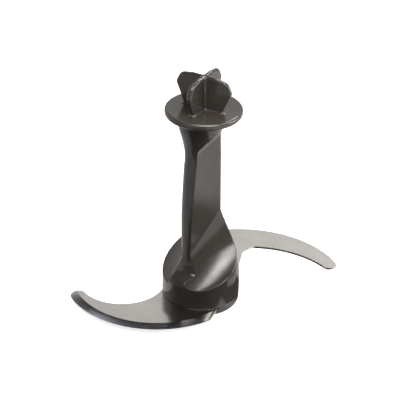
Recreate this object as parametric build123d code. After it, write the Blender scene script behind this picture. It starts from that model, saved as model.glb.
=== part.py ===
from build123d import *
import math
import os

# Food processor blade: a moulded column with a drive cross on top and two steel blades in its hub.
# Millimetres. The origin is the centre of the base, +Z runs up the axis the blade spins on.
# The lower blade points to -X and the upper blade to +X.

# Base cap
cap_plate = 3.0
cap_inset = 0.1
cap_edge_round = 1.4
recess_clearance = 0.15

# Steel blades
blade_thickness = 1.2
blade_rise = 15.2
edge_thickness = 0.25
bevel_width = 4.4
serration_pitch = 1.1
serration_width = 0.8
serration_depth = 0.35
serration_overcut = 1.5
tip_outer_round = 3.6
tip_inner_round = 2.0
heel_round = 3.0
heel_x = 5.5
heel_root = (9.5, -17.0)
lower_root_radius = 16.0
upper_root_radius = 12.0
anchor_hole_radius = 1.2
anchor_circle_radius = 9.8
anchor_count = 4
peg_hole_radius = 2.0
peg_circle_radius = 12.3
peg_clearance = 0.15
peg_length = 2.6

# Lower blade: its two edges are arcs, given by centre and radius, and it ends at tip_y
lower_edge_centre = (-24.0, 12.0)
lower_edge_radius = 49.4
lower_back_centre = (-42.3, 7.5)
lower_back_radius = 23.2
lower_tip_y = -3.4
lower_neck = (-19.0, 3.0)

# Upper blade, drawn as if it pointed to -X as well and then turned half a turn
upper_edge_centre = (-22.0, 16.0)
upper_edge_radius = 54.0
upper_back_centre = (-27.0, 28.4)
upper_back_radius = 48.3
upper_tip_y = 0.5
upper_neck = (-19.5, 3.0)
upper_neck_x = -23.2
upper_neck_round = 8.0

# Hub
hub_radius = 20.5
hub_wall_height = 10.0
shoulder_radius = 58.0
shoulder_angle = 20.0
front_slope_start = 11.5
front_slope_middle = (15.3, 16.4)
front_slope_end = 30.0
front_slope_spread = 82.0

# Column. Drops are heights below the underside of the flange.
column_foot_radius = 10.9
column_foot_height = 47.0
waist_radius = 9.8
waist_drop = 21.9
flare_start_drop = 28.9
flare_low_drop = 14.9
flare_low_radius = 10.2
flare_low_offset = 0.8
flare_middle_drop = 8.9
flare_middle_radius = 11.0
flare_middle_offset = 1.8
flare_top_radius = 12.0
flare_top_offset = 3.0

# Flange and drive cross
flange_top_z = 113.5
flange_radius = 20.0
flange_thickness = 3.4
flange_edge_round = 1.2
fin_height = 18.0
fin_root_reach = 11.1
fin_widest_reach = 16.2
fin_widest_height = 11.5
fin_shoulder_reach = 13.4
fin_shoulder_height = 16.9
fin_flat_reach = 6.5
fin_corner_round = 3.6
fin_thickness = 2.7
fin_edge_round = 1.1
fin_foot_round = 1.2
fin_azimuth = -30.0

# Scoops: two hollows, one on each flat face of the column. Heights are above the seam.
# A pair of heights is given at the front and at the back end of the hollow.
scoop_azimuth = 45.0
scoop_depth_radius = 4.5
right_front_depth = 1.6
left_front_depth = 3.6
left_front_face = [(8.6, 27.0), (7.4, 52.0)]
scoop_reach = 24.0
sweep_fullness = 0.55
right_sweep_top = (21.0, 58.0)
right_sweep_bottom = (7.8, 24.0)
left_sweep_top = (11.0, 60.5)
left_sweep_bottom = (8.4, 33.0)
ramp_start = (81.5, 96.0)
ramp_bend = 6.0
ramp_slope = 0.92

# Pin bore and the boss round it
bore_radius = 4.1
bore_depth = 24.0
boss_radius = 7.5
boss_clearance = 0.15

# Places worked out from the sizes above
seam_z = cap_plate + blade_thickness
flange_under_z = flange_top_z - flange_thickness
upper_blade_z = seam_z + blade_rise - blade_thickness
boss_hole_radius = boss_radius + boss_clearance
cap_radius = hub_radius - cap_inset
column_foot_z = seam_z + column_foot_height
waist_z = flange_under_z - waist_drop
flare_start_z = flange_under_z - flare_start_drop
cutter_margin = 3.0
tolerance = 0.001
upward = (Align.CENTER, Align.CENTER, Align.MIN)


def point_on_arc(centre, radius, y, side):
    """The point where a circle crosses height y, on its left (-1) or right (+1) side."""
    return (centre[0] + side * math.sqrt(radius**2 - (y - centre[1]) ** 2), y)


def arc_y(centre, radius, x):
    """The lower y of a circle at x."""
    return centre[1] - math.sqrt(radius**2 - (x - centre[0]) ** 2)


def arc_between(centre, radius, start, end):
    """The arc of a circle from start to end, through the middle of the way between them."""
    a0 = math.atan2(start[1] - centre[1], start[0] - centre[0])
    a1 = math.atan2(end[1] - centre[1], end[0] - centre[0])
    turn = (a1 - a0 + math.pi) % (2 * math.pi) - math.pi
    middle = a0 + turn / 2
    through = (centre[0] + radius * math.cos(middle), centre[1] + radius * math.sin(middle))
    return ThreePointArc(start, through, end)


def crescent(edge_centre, edge_radius, back_centre, back_radius, tip_y, neck, neck_x=None):
    """Plan of one blade from its tip to inside the hub: cutting edge below, back edge above."""
    heel = (heel_x, arc_y(edge_centre, edge_radius, heel_x))
    tip_out = point_on_arc(edge_centre, edge_radius, tip_y, -1)
    tip_in = point_on_arc(back_centre, back_radius, tip_y, -1)
    if neck_x is None:
        back_end = point_on_arc(back_centre, back_radius, neck[1], 1)
    else:
        back_end = (neck_x, arc_y(back_centre, back_radius, neck_x))
    lines = [
        arc_between(edge_centre, edge_radius, heel, tip_out),
        Line(tip_out, tip_in),
        arc_between(back_centre, back_radius, tip_in, back_end),
        Line(back_end, neck),
        Line(neck, (heel_root[0], neck[1])),
        Line((heel_root[0], neck[1]), heel_root),
        Line(heel_root, heel),
    ]
    plan = make_face(lines)
    corners = plan.vertices()
    plan = fillet(nearest(corners, tip_out), tip_outer_round)
    plan = fillet(nearest(plan.vertices(), tip_in), tip_inner_round)
    plan = fillet(nearest(plan.vertices(), heel), heel_round)
    if neck_x is not None:
        plan = fillet(nearest(plan.vertices(), back_end), upper_neck_round)
    return plan


def nearest(vertices, point):
    """The vertex that lies nearest to a point of the plan."""
    return vertices.sort_by_distance((point[0], point[1], 0))[0]


def bevel_ring(edge_centre, edge_radius):
    """Ring that leaves the cutting edge as a cone, ground down from the top face."""
    slope = (blade_thickness - edge_thickness) / bevel_width
    inner = edge_radius - bevel_width
    outer = edge_radius + cutter_margin
    above = blade_thickness + cutter_margin
    section = Polyline(
        (inner, blade_thickness),
        (outer, edge_thickness - cutter_margin * slope),
        (outer, above),
        (inner, above),
        close=True,
    )
    ring = revolve(Plane.XZ * make_face(section), Axis.Z)
    return Pos(edge_centre[0], edge_centre[1], 0) * ring


def serrations(edge_centre, edge_radius, tip_y):
    """V grooves ground across the bevel, one every pitch from the heel to the tip."""
    heel_angle = math.acos((heel_x - edge_centre[0]) / edge_radius)
    tip_angle = math.pi - math.asin((edge_centre[1] - tip_y) / edge_radius)
    heel_gap = (heel_round + serration_width) / edge_radius
    tip_gap = (tip_outer_round + serration_width) / edge_radius
    arc = tip_angle - heel_angle - heel_gap - tip_gap
    count = int(arc * edge_radius / serration_pitch)
    drop = blade_thickness - edge_thickness + serration_depth
    groove = Plane(
        origin=(edge_radius - bevel_width, 0, blade_thickness),
        x_dir=(0, 1, 0),
        z_dir=(bevel_width, 0, -drop),
    )
    side = serration_overcut * serration_width / 2
    top = serration_overcut * serration_depth
    triangle = groove * make_face(Polyline((-side, top), (side, top), (0, 0), close=True))
    cutter = extrude(triangle, math.hypot(bevel_width, drop) * serration_overcut)
    grooves = []
    for i in range(count):
        angle = -math.degrees(heel_angle + heel_gap + (i + 0.5) * arc / count)
        grooves.append(Pos(edge_centre[0], edge_centre[1], 0) * Rot(0, 0, angle) * cutter)
    return grooves


def blank(plan, root_radius, growth=0.0):
    """Plan of a blade before its holes are punched: the crescent and the root disc."""
    outline = plan + Circle(root_radius)
    if growth:
        outline = offset(outline, growth)
    return outline


def blade(plan, root_radius, holes, edge_centre, edge_radius, tip_y):
    """A steel blade lying on z = 0, with its root holes, ground bevel and serrated edge."""
    outline = blank(plan, root_radius) - Circle(boss_hole_radius) - holes
    steel = extrude(outline, blade_thickness)
    steel -= bevel_ring(edge_centre, edge_radius)
    return steel - serrations(edge_centre, edge_radius, tip_y)


def peg_places():
    """Centres of the two locating pegs, one on each side of the axis."""
    return [(0, peg_circle_radius * side) for side in (-1, 1)]


def lower_plan():
    return crescent(
        lower_edge_centre,
        lower_edge_radius,
        lower_back_centre,
        lower_back_radius,
        lower_tip_y,
        lower_neck,
    )


def lower_blade():
    """Blade under the hub, ground on its top face."""
    holes = [Pos(*place) * Circle(peg_hole_radius) for place in peg_places()]
    steel = blade(
        lower_plan(), lower_root_radius, holes, lower_edge_centre, lower_edge_radius, lower_tip_y
    )
    return Pos(0, 0, cap_plate) * steel


def upper_blade():
    """Blade moulded into the hub, ground on its underside."""
    plan = crescent(
        upper_edge_centre,
        upper_edge_radius,
        upper_back_centre,
        upper_back_radius,
        upper_tip_y,
        upper_neck,
        upper_neck_x,
    )
    holes = PolarLocations(anchor_circle_radius, anchor_count) * Circle(anchor_hole_radius)
    steel = blade(plan, upper_root_radius, holes, upper_edge_centre, upper_edge_radius, upper_tip_y)
    steel = mirror(steel, Plane.XY)
    return Pos(0, 0, upper_blade_z + blade_thickness) * Rot(0, 0, 180) * steel


def hub():
    """Cylinder with a sloping shoulder, cut back in front to a long S-shaped slope."""
    wall_top = seam_z + hub_wall_height
    wall = Line((hub_radius, seam_z), (hub_radius, wall_top))
    shoulder = JernArc((hub_radius, wall_top), (0, 1), shoulder_radius, shoulder_angle)
    cone = Line(shoulder @ 1, (column_foot_radius, column_foot_z))
    rest = Polyline(
        (column_foot_radius, column_foot_z), (0, column_foot_z), (0, seam_z), (hub_radius, seam_z)
    )
    solid = revolve(Plane.XZ * make_face([wall, shoulder, cone, rest]), Axis.Z)
    return solid - front_slope()


def front_slope():
    """Cutter that takes the front of the hub back from its wall to the column in an S curve."""
    bottom = (-hub_radius, seam_z + front_slope_start)
    top = (-column_foot_radius, seam_z + front_slope_end)
    side = -hub_radius - cutter_margin
    above = column_foot_z + cutter_margin
    middle = (-front_slope_middle[0], seam_z + front_slope_middle[1])
    slope = Spline(bottom, middle, top, tangents=[(0, 1), (0, 1)])
    outside = Polyline(top, (top[0], above), (side, above), (side, bottom[1]), bottom)
    face = Plane.XZ * make_face([slope, outside])
    cutter = revolve(face, Axis.Z, front_slope_spread)
    return Rot(0, 0, -front_slope_spread / 2) * cutter


def column_radius(z):
    """Radius of the column at a height between its foot and its waist."""
    rise = (z - column_foot_z) / (waist_z - column_foot_z)
    return column_foot_radius + rise * (waist_radius - column_foot_radius)


def column():
    """Round column that narrows to a waist, with a flare under the flange that leans to the front."""
    start_radius = column_radius(flare_start_z)
    outline = Polyline(
        (0, seam_z),
        (column_foot_radius, seam_z),
        (column_foot_radius, column_foot_z),
        (start_radius, flare_start_z),
        (0, flare_start_z),
        close=True,
    )
    shaft = revolve(Plane.XZ * make_face(outline), Axis.Z)
    levels = [
        (flare_start_z, start_radius, 0),
        (waist_z, waist_radius, 0),
        (flange_under_z - flare_low_drop, flare_low_radius, flare_low_offset),
        (flange_under_z - flare_middle_drop, flare_middle_radius, flare_middle_offset),
        (flange_under_z, flare_top_radius, flare_top_offset),
    ]
    return shaft + loft([Pos(-lean, 0, z) * Circle(radius) for z, radius, lean in levels])


def scoop_section(sweep_top, sweep_bottom, ramp_z, foot_depth, face_controls):
    """Section of one scoop: sweep out to the hub wall, column face, and ramp below the flange.

    The face is straight, or a curve pulled towards the control points if there are any.
    """
    depth = scoop_depth_radius
    foot = (foot_depth, sweep_top)
    bend = (depth, ramp_z)
    ramp_end = (depth + ramp_slope * (flange_under_z - ramp_z - ramp_bend / 2), flange_under_z)
    ramp_foot = (depth + ramp_slope * ramp_bend / 2, ramp_z + ramp_bend)
    far = scoop_reach + cutter_margin
    face = Bezier(foot, *[(n, seam_z + height) for n, height in face_controls], bend)
    down = (face % 0) * (-sweep_fullness * (sweep_top - sweep_bottom))
    run = sweep_fullness * (scoop_reach - foot_depth)
    sweep_controls = [
        foot,
        (foot_depth + down.X, sweep_top + down.Y),
        (scoop_reach - run, sweep_bottom),
        (scoop_reach, sweep_bottom),
    ]
    return [
        Bezier(*sweep_controls),
        face,
        Bezier(bend, (depth, ramp_z + ramp_bend / 2), ramp_foot),
        Line(ramp_foot, ramp_end),
        Line(ramp_end, (far, flange_under_z)),
        Line((far, flange_under_z), (far, sweep_bottom)),
        Line((far, sweep_bottom), (scoop_reach, sweep_bottom)),
    ]


def scoop(sweep_top, sweep_bottom, front_depth, front_face, side):
    """Cutter for the scoop on one side: it runs higher at the back end than in front."""
    front = (0, -hub_radius, front_depth, front_face)
    back = (1, hub_radius, scoop_depth_radius, [])
    faces = []
    for end, x, depth, controls in (front, back):
        plane = Plane(origin=(x, 0, 0), x_dir=(0, side, 0), z_dir=(side, 0, 0))
        heights = [seam_z + level[end] for level in (sweep_top, sweep_bottom, ramp_start)]
        faces.append(plane * make_face(scoop_section(*heights, depth, controls)))
    return loft(faces, ruled=True)


def flange():
    disc = Pos(0, 0, flange_under_z) * Cylinder(flange_radius, flange_thickness, align=upward)
    return fillet(disc.edges().filter_by(GeomType.CIRCLE), flange_edge_round)


def fin_face():
    """Side view of one plate: narrow at the foot, widest two thirds up, round at the top corners."""
    lean = (fin_widest_reach - fin_root_reach) / fin_widest_height
    corners = [
        (0, -fin_foot_round),
        (fin_root_reach - lean * fin_foot_round, -fin_foot_round),
        (fin_widest_reach, fin_widest_height),
        (fin_shoulder_reach, fin_shoulder_height),
        (fin_flat_reach, fin_height),
        (0, fin_height),
    ]
    half = make_face(Polyline(*corners, close=True))
    for corner in corners[2:5]:
        half = fillet(nearest(half.vertices(), corner), fin_corner_round)
    return half + mirror(half, Plane.YZ)


def drive_cross():
    """Two crossed plates with rounded edges, standing on the flange."""
    plate = extrude(Plane.XZ * fin_face(), fin_thickness / 2, both=True)
    rim = [edge for edge in plate.edges() if edge.center().Z > 0 and abs(edge.center().Y) > tolerance]
    plate = fillet(rim, fin_edge_round)
    return Pos(0, 0, flange_top_z) * (plate + Rot(0, 0, 90) * plate)


def drive_head():
    """Flange and drive cross, with rounded feet and inner corners."""
    head = flange() + Rot(0, 0, fin_azimuth) * drive_cross()
    corners = []
    for edge in head.edges():
        box = edge.bounding_box()
        middle = edge.center()
        flat = box.max.Z - box.min.Z < tolerance and abs(box.max.Z - flange_top_z) < tolerance
        foot = flat and edge.length < flange_radius
        inner = math.hypot(middle.X, middle.Y) < fin_thickness and edge.length > fin_height / 2
        if foot or inner:
            corners.append(edge)
    return fillet(corners, fin_foot_round)


def pin_bore():
    """Blind bore from the base for the pin that stands in the bowl."""
    return Cylinder(bore_radius, bore_depth, align=upward)


def body():
    """The one moulding: hub, fluted column, flange, drive cross and the boss round the pin bore."""
    shaft = hub() + column()
    shaft -= scoop(right_sweep_top, right_sweep_bottom, right_front_depth, [], -1)
    shaft -= scoop(left_sweep_top, left_sweep_bottom, left_front_depth, left_front_face, 1)
    shaft = Rot(0, 0, scoop_azimuth) * shaft
    boss = Cylinder(boss_radius, seam_z, align=upward)
    solid = shaft + drive_head() + boss
    for place in peg_places():
        solid += Pos(*place, seam_z) * Cylinder(peg_hole_radius - peg_clearance, 2 * peg_length)
    solid -= pin_bore()
    return solid - upper_blade()


def base_cap():
    """Ring that closes the hub from below, with a recess for the lower blade."""
    ring = Cylinder(cap_radius, seam_z, align=upward)
    ring = fillet(ring.edges().group_by(Axis.Z)[0], cap_edge_round)
    ring -= Cylinder(boss_hole_radius, seam_z, align=upward)
    recess = extrude(blank(lower_plan(), lower_root_radius, recess_clearance), blade_thickness)
    ring -= Pos(0, 0, cap_plate) * recess
    for place in peg_places():
        ring -= Pos(*place, seam_z) * Cylinder(peg_hole_radius, 2 * (peg_length + peg_clearance))
    return ring


parts = {
    "body": body(),
    "lower_blade": lower_blade(),
    "upper_blade": upper_blade(),
    "base_cap": base_cap(),
}

os.makedirs("parts", exist_ok=True)
for name, shape in parts.items():
    export_step(shape, f"parts/{name}.step")
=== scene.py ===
# %% [markdown]
# # Food processor blade
# The real part is one dark plastic moulding, a column with a drive cross on top, that carries two
# thin steel blades in its hub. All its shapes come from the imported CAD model, so this lesson is about
# finishes: how moulded plastic and ground steel look, and how a studio makes dark plastic readable.

# %% Load the frame
import math

import bmesh
import bpy
from mathutils import Matrix, Vector


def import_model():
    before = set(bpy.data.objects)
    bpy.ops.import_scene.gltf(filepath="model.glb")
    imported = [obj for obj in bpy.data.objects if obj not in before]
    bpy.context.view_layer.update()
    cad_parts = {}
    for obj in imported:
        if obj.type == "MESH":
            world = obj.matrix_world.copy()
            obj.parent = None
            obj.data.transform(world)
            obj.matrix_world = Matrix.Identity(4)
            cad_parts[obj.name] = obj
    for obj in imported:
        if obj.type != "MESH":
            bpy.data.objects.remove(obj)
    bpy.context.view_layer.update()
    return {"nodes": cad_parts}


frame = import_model()
nodes = frame["nodes"]
print("pieces:", sorted(nodes))

# %% [markdown]
# ## Units and small helpers
# Blender works in metres and the part is described in millimetres, so one factor turns one into the
# other. Colours are written as sRGB hex values, as a colour picker shows them, and one function makes
# them linear. One more function adds a shader node with its settings and its links, and takes a socket
# by its name, or by its number where several sockets share a name. A noise texture seldom leaves the
# middle of its range, so that middle is what gets stretched over each finish.

# %% Helpers
MM = 0.001
NOISE_SPAN = {"From Min": 0.3, "From Max": 0.7}


def linear(hex_colour):
    """An sRGB hex colour as linear RGBA."""
    parts = [int(hex_colour[i : i + 2], 16) / 255 for i in (1, 3, 5)]
    return [p / 12.92 if p <= 0.04045 else ((p + 0.055) / 1.055) ** 2.4 for p in parts] + [1.0]


def add(tree, kind, inputs=None, **settings):
    """Adds one node. Settings are its properties, and inputs are values or sockets to link."""
    made = tree.nodes.new(kind)
    for name, value in settings.items():
        setattr(made, name, value)
    for socket, value in (inputs or {}).items():
        if isinstance(value, bpy.types.NodeSocket):
            tree.links.new(value, made.inputs[socket])
        else:
            made.inputs[socket].default_value = value
    return made


def new_material(name):
    """An empty material: its tree, its shader and its Object coordinates."""
    material = bpy.data.materials.new(name)
    material.use_nodes = True
    tree = material.node_tree
    tree.nodes.clear()
    shader = add(tree, "ShaderNodeBsdfPrincipled")
    add(tree, "ShaderNodeOutputMaterial", {"Surface": shader.outputs["BSDF"]})
    place = add(tree, "ShaderNodeTexCoord").outputs["Object"]
    return material, tree, shader, place


print("helpers: linear, add, new_material")

# %% [markdown]
# ## Moulded plastic
# The column, flange and cap are ABS, injection moulded in a polished tool. ABS takes a semi-gloss skin,
# and its corners are never sharp, because the tool is cut with a small radius and the plastic shrinks
# back from it. The Bevel node rounds the normals at every corner by that radius, so each edge catches
# a line of light. Two noises vary the colour and the gloss, as flow in the tool and handling do. A
# real orange peel is finer than the picture can show, so it is drawn a little coarser and very low.

# %% The plastic's material
PLASTIC = "#302c28"
PLASTIC_PALER = "#3c3733"
SKIN_ROUGHNESS = (0.15, 0.20)
CORNER_RADIUS = 0.8 * MM
FLOW_SIZE = 14.0 * MM
HANDLING_SIZE = 2.5 * MM
PEEL_SIZE = 1.6 * MM
PEEL_HEIGHT = 0.0005 * MM
ABS_IOR = 1.53
FLOW_SHARE = 0.6


def moulded_plastic(name):
    """Semi-gloss moulded ABS with soft corners."""
    material, tree, shader, place = new_material(name)
    flow = add(tree, "ShaderNodeTexNoise", {"Vector": place, "Scale": 1 / FLOW_SIZE, "Detail": 3.0})
    share = add(
        tree,
        "ShaderNodeMapRange",
        {"Value": flow.outputs["Fac"], **NOISE_SPAN, "To Min": 0.0, "To Max": FLOW_SHARE},
    )
    colour = add(
        tree,
        "ShaderNodeMix",
        {"Factor": share.outputs["Result"], "A": linear(PLASTIC), "B": linear(PLASTIC_PALER)},
        data_type="RGBA",
    )
    skin = add(tree, "ShaderNodeTexNoise", {"Vector": place, "Scale": 1 / HANDLING_SIZE, "Detail": 3.0})
    gloss = add(
        tree,
        "ShaderNodeMapRange",
        {
            "Value": skin.outputs["Fac"],
            **NOISE_SPAN,
            "To Min": SKIN_ROUGHNESS[0],
            "To Max": SKIN_ROUGHNESS[1],
        },
    )
    peel = add(tree, "ShaderNodeTexNoise", {"Vector": place, "Scale": 1 / PEEL_SIZE, "Detail": 1.0})
    corner = add(tree, "ShaderNodeBevel", {"Radius": CORNER_RADIUS}, samples=8)
    bump = add(
        tree,
        "ShaderNodeBump",
        {"Height": peel.outputs["Fac"], "Distance": PEEL_HEIGHT, "Normal": corner.outputs["Normal"]},
    )
    tree.links.new(colour.outputs["Result"], shader.inputs["Base Color"])
    tree.links.new(gloss.outputs["Result"], shader.inputs["Roughness"])
    tree.links.new(bump.outputs["Normal"], shader.inputs["Normal"])
    shader.inputs["IOR"].default_value = ABS_IOR
    return material


# ABS, injection moulded: nearly black, with soft broad highlights and a bright line on each corner.
plastic = moulded_plastic("ABS_semi_gloss_moulded")
print("made", plastic.name)

# %% [markdown]
# ## Blade steel
# The blades are punched from rolled stainless strip, and then each cutting edge is ground. Rolling
# leaves fine lines along the strip that blur what it mirrors, while a fresh grind is finer and mirrors
# more sharply, so the finishes share one function. The grooves of the serration are coarser than
# either, and their colour is painted darker as shade in the recesses, which also dims what they mirror.
# The lines are really a few hundredths of a millimetre apart. Here they are drawn as wide as the
# picture can show.

# %% The steel's materials
STEEL = "#d5d1cc"
STEEL_SHADE = "#c4c0bb"
STEEL_ROUGHNESS = (0.16, 0.24)
GROUND_ROUGHNESS = (0.10, 0.16)
GROOVE_ROUGHNESS = (0.30, 0.38)
# The grooves' two tones are painted shade: far darker than the steel, so the recesses read as shaded.
GROOVE_PAINTED_SHADE = "#66666c"
GROOVE_PAINTED_SHADE_DEEPER = "#58585e"
LINE_SIZE = 0.5 * MM
LINE_STRETCH = (0.02, 1.0, 1.0)
LINE_DEPTH = 0.0002 * MM
TONE_SIZE = 11.0 * MM


def strip_steel(name, roughness, bright=STEEL, shade=STEEL_SHADE):
    """Stainless strip with fine lines along the blade."""
    material, tree, shader, place = new_material(name)
    along = add(tree, "ShaderNodeMapping", {"Vector": place, "Scale": LINE_STRETCH})
    lines = add(
        tree,
        "ShaderNodeTexNoise",
        {"Vector": along.outputs["Vector"], "Scale": 1 / LINE_SIZE, "Detail": 2.0},
    )
    gloss = add(
        tree,
        "ShaderNodeMapRange",
        {"Value": lines.outputs["Fac"], **NOISE_SPAN, "To Min": roughness[0], "To Max": roughness[1]},
    )
    tone = add(tree, "ShaderNodeTexNoise", {"Vector": place, "Scale": 1 / TONE_SIZE, "Detail": 2.0})
    colour = add(
        tree,
        "ShaderNodeMix",
        {"Factor": tone.outputs["Fac"], "A": linear(bright), "B": linear(shade)},
        data_type="RGBA",
    )
    bump = add(tree, "ShaderNodeBump", {"Height": lines.outputs["Fac"], "Distance": LINE_DEPTH})
    tree.links.new(colour.outputs["Result"], shader.inputs["Base Color"])
    tree.links.new(gloss.outputs["Result"], shader.inputs["Roughness"])
    tree.links.new(bump.outputs["Normal"], shader.inputs["Normal"])
    shader.inputs["Metallic"].default_value = 1.0
    return material


# Rolled strip: even and pale, with streaks along the blade.
steel = strip_steel("stainless_steel_rolled", STEEL_ROUGHNESS)
# Ground bevel: smoother, so it mirrors the dark above it as one clean dark band.
ground_steel = strip_steel("stainless_steel_ground", GROUND_ROUGHNESS)
# Ground grooves: burred and dull, and painted darker as shade in the recesses, so the serration reads as
# fine dark teeth.
groove_steel = strip_steel("stainless_steel_serrated", GROOVE_ROUGHNESS, GROOVE_PAINTED_SHADE, GROOVE_PAINTED_SHADE_DEEPER)
print("made", steel.name, ground_steel.name, groove_steel.name)

# %% [markdown]
# ## Dress the pieces
# Each CAD piece keeps its mesh and gets its finish in the material slots. On a blade, every face that
# is neither flat nor upright was made by the grinding wheel, so its normal is enough to tell the
# finish. The bevel leans a little from the flat, and the walls of the grooves lean much more.

# %% Assign the materials
FLAT = 0.9999
BEVEL_LEAN = 0.9
UPRIGHT = 0.01


def dress(name, materials):
    """Puts the materials on one piece, all of it in the first."""
    mesh = nodes[name].data
    mesh.materials.clear()
    for material in materials:
        mesh.materials.append(material)
    return mesh


def dress_blade(name):
    """Puts the three steels on a blade, and counts the faces of each."""
    mesh = dress(name, (steel, ground_steel, groove_steel))
    faces = [0, 0, 0]
    for face in mesh.polygons:
        lean = abs(face.normal.z)
        if BEVEL_LEAN < lean < FLAT:
            face.material_index = 1
        elif UPRIGHT < lean <= BEVEL_LEAN:
            face.material_index = 2
        faces[face.material_index] += 1
    return faces


for name in ("body", "base_cap"):
    print(name, "in", dress(name, (plastic,)).materials[0].name)
for name in ("lower_blade", "upper_blade"):
    print(name, "faces rolled, ground, grooved:", dress_blade(name))

# %% [markdown]
# ## The table
# A plain pale table carries the part. The camera sees it as plain white, but the part's shadow stays
# on it, because its own shading is still there under the added light. One function makes every flat
# sheet of the stage: it starts from a square of side 1 and stretches it to the sheet's corners.

# %% Table
TABLE_LOW = (-3000, -3000)
TABLE_HIGH = (3000, 3000)
TABLE = "#e8e6e2"
TABLE_LIFT = 0.85
TABLE_ROUGHNESS = (0.7, 0.8)
TABLE_SPECULAR = 0.2
TABLE_GRAIN = 40.0 * MM


def sheet(name, low, high, height, material):
    """A flat sheet of the stage. Its two corners and its height are in millimetres."""
    shape = bmesh.new()
    bmesh.ops.create_grid(shape, x_segments=1, y_segments=1, size=0.5)
    sides = Vector((high[0] - low[0], high[1] - low[1], 1.0)) * MM
    middle = Vector(((low[0] + high[0]) / 2, (low[1] + high[1]) / 2, height)) * MM
    bmesh.ops.scale(shape, vec=sides, verts=shape.verts)
    bmesh.ops.translate(shape, vec=middle, verts=shape.verts)
    mesh = bpy.data.meshes.new(name)
    shape.to_mesh(mesh)
    shape.free()
    mesh.materials.append(material)
    made = bpy.data.objects.new(name, mesh)
    bpy.context.scene.collection.objects.link(made)
    return made


def matt_white(name):
    """A matt white top that the camera sees brighter than it is lit."""
    material, tree, shader, place = new_material(name)
    grain = add(tree, "ShaderNodeTexNoise", {"Vector": place, "Scale": 1 / TABLE_GRAIN})
    gloss = add(
        tree,
        "ShaderNodeMapRange",
        {"Value": grain.outputs["Fac"], "To Min": TABLE_ROUGHNESS[0], "To Max": TABLE_ROUGHNESS[1]},
    )
    tree.links.new(gloss.outputs["Result"], shader.inputs["Roughness"])
    shader.inputs["Base Color"].default_value = linear(TABLE)
    shader.inputs["Specular IOR Level"].default_value = TABLE_SPECULAR
    rays = add(tree, "ShaderNodeLightPath")
    white = add(tree, "ShaderNodeEmission", {"Strength": TABLE_LIFT})
    both = add(tree, "ShaderNodeAddShader", {0: shader.outputs["BSDF"], 1: white.outputs["Emission"]})
    mixed = add(
        tree,
        "ShaderNodeMixShader",
        {0: rays.outputs["Is Camera Ray"], 1: shader.outputs["BSDF"], 2: both.outputs["Shader"]},
    )
    tree.links.new(mixed.outputs["Shader"], tree.get_output_node("ALL").inputs["Surface"])
    return material


# Lacquered board, rolled matt: it scatters light evenly and shows no reflection.
table = sheet("table", TABLE_LOW, TABLE_HIGH, 0.0, matt_white("table_top_matt_white"))
print("table in m:", [round(side, 3) for side in table.dimensions])

# %% [markdown]
# ## The studio round it
# Steel and glossy plastic show what stands round them more than their own colour. A white backdrop
# stands behind the part and reaches some way round its sides. It rises to about 35 degrees above
# level and fades to dark there, so the flat of each blade mirrors white, while the ground bevel leans
# back and mirrors the dark. A direction is given by its parts: Z runs from 0 at level to 1 straight
# up, and Y from -1 at the camera's side to 1 behind. The fill that lights matt surfaces is even, and
# the camera itself sees plain white.

# %% World
WORLD_FILL = 0.42
BACKDROP = 0.82
BACKDROP_TOP = (0.56, 0.66)
BACKDROP_SIDES = (-0.25, 0.25)
DARK_ABOVE = 0.02
DARK_FRONT = 0.08
PURE_WHITE = linear("#ffffff")


def world():
    """Even fill on matt surfaces, a backdrop with dark above it in mirrors, and white to the camera."""
    made = bpy.data.worlds.new("studio")
    bpy.context.scene.world = made
    made.use_nodes = True
    tree = made.node_tree
    tree.nodes.clear()
    direction = add(tree, "ShaderNodeTexCoord").outputs["Generated"]
    axes = add(tree, "ShaderNodeSeparateXYZ", {"Vector": direction}).outputs
    fade = add(
        tree,
        "ShaderNodeMapRange",
        {
            "Value": axes["Z"],
            "From Min": BACKDROP_TOP[0],
            "From Max": BACKDROP_TOP[1],
            "To Min": 1.0,
            "To Max": DARK_ABOVE,
        },
    )
    behind = add(
        tree,
        "ShaderNodeMapRange",
        {
            "Value": axes["Y"],
            "From Min": BACKDROP_SIDES[0],
            "From Max": BACKDROP_SIDES[1],
            "To Min": DARK_FRONT,
            "To Max": BACKDROP,
        },
    )
    seen = add(
        tree,
        "ShaderNodeMath",
        {0: fade.outputs["Result"], 1: behind.outputs["Result"]},
        operation="MULTIPLY",
    )
    fill = add(tree, "ShaderNodeBackground", {"Color": PURE_WHITE, "Strength": WORLD_FILL})
    backdrop = add(
        tree, "ShaderNodeBackground", {"Color": PURE_WHITE, "Strength": seen.outputs["Value"]}
    )
    white = add(tree, "ShaderNodeBackground", {"Color": PURE_WHITE, "Strength": 1.0})
    rays = add(tree, "ShaderNodeLightPath").outputs
    glossy = add(
        tree,
        "ShaderNodeMixShader",
        {0: rays["Is Glossy Ray"], 1: fill.outputs["Background"], 2: backdrop.outputs["Background"]},
    )
    camera = add(
        tree,
        "ShaderNodeMixShader",
        {0: rays["Is Camera Ray"], 1: glossy.outputs["Shader"], 2: white.outputs["Background"]},
    )
    add(tree, "ShaderNodeOutputWorld", {"Surface": camera.outputs["Shader"]})


world()
print("world:", bpy.context.scene.world.name, "fill", WORLD_FILL)

# %% [markdown]
# ## Lamps
# A dark glossy part is lit by what it mirrors, so each lamp is a long softbox placed where one of its
# faces looks. The key stands on the right with a broad panel below it, so the flat of the flute is
# light and the front of the column stays dark. A narrow strip held close to the part draws the streak
# down the scoop, and a grid over it keeps most of its light off the drive cross. One strip over the
# camera puts a thin line on every rounded rim, a wide one overhead lights the flange from the back,
# and a small one behind makes the glint near the heel. A grid narrows the spread of a lamp, which is
# given in degrees.

# %% Lamps
COLUMN_MIDDLE = Vector((0.0, 0.0, 40.0)) * MM
SCOOP_FOOT = Vector((10.0, -8.0, 25.0)) * MM
NO_GRID = 180.0
GRID = 90.0


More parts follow.
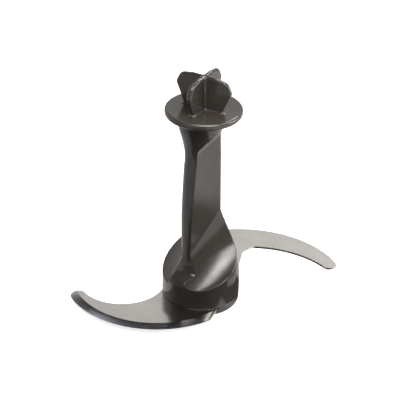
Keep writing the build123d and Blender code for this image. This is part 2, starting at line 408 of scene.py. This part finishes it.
def place_at(azimuth, elevation, distance):
    """A point in the studio. Azimuth 0 is the camera's side and 90 the right, distance in metres."""
    a, e = math.radians(azimuth), math.radians(elevation)
    away = Vector((math.sin(a) * math.cos(e), -math.cos(a) * math.cos(e), math.sin(e)))
    return COLUMN_MIDDLE + away * distance


def softbox(name, first, last, width, power, target=COLUMN_MIDDLE, spread=NO_GRID):
    """A softbox from one point to another, facing the target: width in metres, power in watts."""
    data = bpy.data.lights.new(name, "AREA")
    data.shape = "RECTANGLE"
    data.size = (last - first).length
    data.size_y = width
    data.energy = power
    data.spread = math.radians(spread)
    lamp = bpy.data.objects.new(name, data)
    bpy.context.scene.collection.objects.link(lamp)
    middle = (first + last) / 2
    side = (last - first).normalized()
    across = (middle - target).cross(side).normalized()
    turn = Matrix((side, across, side.cross(across))).transposed()
    lamp.matrix_world = Matrix.Translation(middle) @ turn.to_4x4()


softbox("key", first=place_at(80, 20, 0.9), last=place_at(80, 60, 0.9), width=0.12, power=2.6)
softbox(
    "scoop_strip",
    first=Vector((92.0, -81.0, 112.0)) * MM,
    last=Vector((-10.0, -32.0, 167.0)) * MM,
    width=20.0 * MM,
    power=0.03,
    target=SCOOP_FOOT,
    spread=GRID,
)
softbox("rims", first=place_at(-50, 56, 1.0), last=place_at(-6, 60, 1.0), width=0.05, power=2.2)
softbox("overhead_back", first=place_at(140, 74, 1.4), last=place_at(220, 74, 1.4), width=0.3, power=5.5)
softbox("panel_right", first=place_at(75, 10, 1.2), last=place_at(105, 10, 1.2), width=0.4, power=6.0)
softbox("heel_glint", first=place_at(172, 52, 1.2), last=place_at(146, 40, 1.2), width=0.06, power=5.0)

# %% [markdown]
# ## Boards on the table
# A white table would fill each dark face with its mirror image. So black cloth lies in front of the
# part and on its right, and grey card on its left, all out of the camera's sight. Photographers do
# this to draw edges on a dark object in a white studio. Between the cloths the table stays bare, and
# that is what the flute, the arch above it and the side of the hub mirror. The corners of each board
# are in millimetres.

# %% Boards
BOARD_HEIGHT = 0.5
BOARD_ROUGHNESS = 0.9


def matt_board(name, one_tone, other_tone):
    """A matt board or cloth whose tone wanders a little between two."""
    material, tree, shader, place = new_material(name)
    weave = add(tree, "ShaderNodeTexNoise", {"Vector": place, "Scale": 1 / TABLE_GRAIN})
    colour = add(
        tree,
        "ShaderNodeMix",
        {"Factor": weave.outputs["Fac"], "A": linear(one_tone), "B": linear(other_tone)},
        data_type="RGBA",
    )
    tree.links.new(colour.outputs["Result"], shader.inputs["Base Color"])
    shader.inputs["Roughness"].default_value = BOARD_ROUGHNESS
    return material


def board(name, low, high, material):
    """A board lying on the table, seen by the part but not by the camera."""
    made = sheet(name, low, high, BOARD_HEIGHT, material)
    made.visible_camera = False
    made.visible_shadow = False


# Pressed paper board: an even middle grey, which keeps the left of the column readable.
card = matt_board("paper_board_grey_pressed", "#b4b4b4", "#a4a4a4")
# Dyed cotton: it swallows nearly all light, so what mirrors it turns dark.
cloth = matt_board("cotton_black_woven", "#101010", "#1c1c1c")
board("card_left", (-300, -24), (-50, 100), card)
board("card_front_left", (-300, -400), (-100, -24), card)
board("flag_front", (-100, -400), (24, -24), cloth)
board("flag_front_right", (24, -200), (74, -18), cloth)
board("flag_right", (56, -28), (94, 30), cloth)
board("flag_by_hub", (21, -18), (40, 16), cloth)

# %% [markdown]
# ## The camera
# The camera stands 0.9 m from the part and looks down at it by 30 degrees, with a long lens. The angle
# and the small roll come from lining up the CAD model with the picture. Both are in radians.

# %% Camera
AIM = Vector((-1.106, 0.0, 59.43)) * MM
DISTANCE = 900.0 * MM
ELEVATION = 0.526923
ROLL = 0.017812
LENS = 155.64
SENSOR_WIDTH = 36.0


def camera():
    """The camera of the main view."""
    data = bpy.data.cameras.new("camera")
    data.sensor_width = SENSOR_WIDTH
    data.lens = LENS
    made = bpy.data.objects.new("camera", data)
    bpy.context.scene.collection.objects.link(made)
    back = Vector((0.0, -math.cos(ELEVATION), math.sin(ELEVATION)))
    up = Vector((0.0, math.sin(ELEVATION), math.cos(ELEVATION)))
    right = Vector((1.0, 0.0, 0.0))
    right_rolled = right * math.cos(ROLL) + up * math.sin(ROLL)
    up_rolled = up * math.cos(ROLL) - right * math.sin(ROLL)
    turn = Matrix((right_rolled, up_rolled, back)).transposed()
    made.matrix_world = Matrix.Translation(AIM + back * DISTANCE) @ turn.to_4x4()
    bpy.context.scene.camera = made
    return made


print("camera at", [round(c, 3) for c in camera().matrix_world.translation])

# %% [markdown]
# ## Finish
# The colours are shown through the Standard view transform.

# %% Finish
bpy.context.scene.view_settings.view_transform = "Standard"
